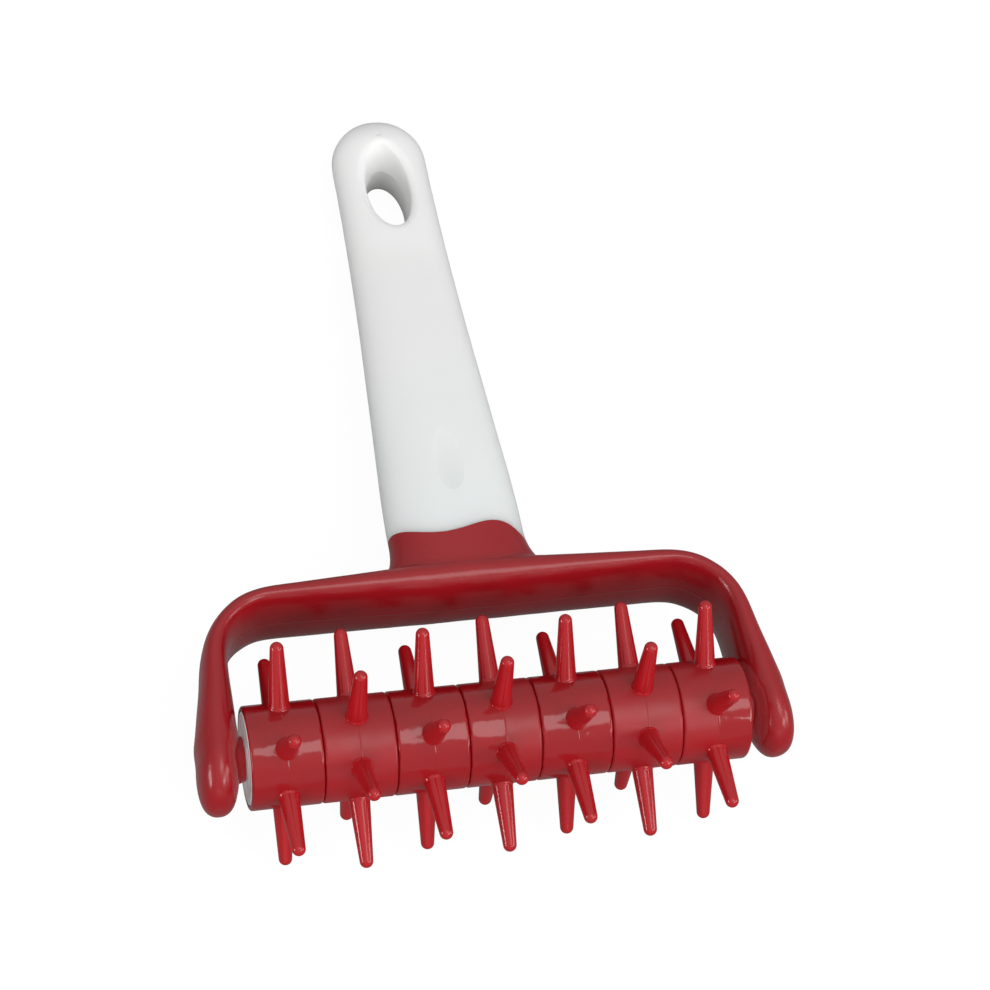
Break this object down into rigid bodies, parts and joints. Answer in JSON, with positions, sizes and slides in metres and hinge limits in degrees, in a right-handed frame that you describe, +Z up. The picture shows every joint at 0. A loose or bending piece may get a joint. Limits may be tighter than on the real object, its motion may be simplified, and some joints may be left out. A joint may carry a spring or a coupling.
{
  "type": "dough docker",
  "caption": "Hand roller for pricking rolled dough: a row of rings with blunt spikes turns in a deep U-shaped fork with a flat, tapering handle and a hole to hang it by.",
  "frame": {"origin": "on the table, under the middle of the whole tool's outline", "axes": "+X along the axle to the tool's right, +Y from the roller to the handle's end, +Z up from the table that the tool lies on"},
  "size_m": [0.1374, 0.203, 0.0525],
  "materials": {
    "red_plastic": "glossy moulded crimson",
    "white_plastic": "glossy moulded cool white",
    "steel": "plain bright rod"
  },
  "bodies": {
    "holder": {"fork": "red_plastic", "grip": "white_plastic", "axle": "steel"},
    "roller": {"core_tube": "white_plastic", "end_cap_left": "white_plastic", "end_cap_right": "white_plastic", "spike_ring_1": "red_plastic", "spike_ring_2": "red_plastic", "spike_ring_3": "red_plastic", "spike_ring_4": "red_plastic", "spike_ring_5": "red_plastic", "spike_ring_6": "red_plastic", "spike_ring_7": "red_plastic"}
  },
  "joints": [
    {"name": "roller_spin", "type": "hinge", "parent": "holder", "child": "roller", "pos_m": [0, -0.07524, 0.02623], "axis": [1, 0, 0], "continuous": true}
  ]
}
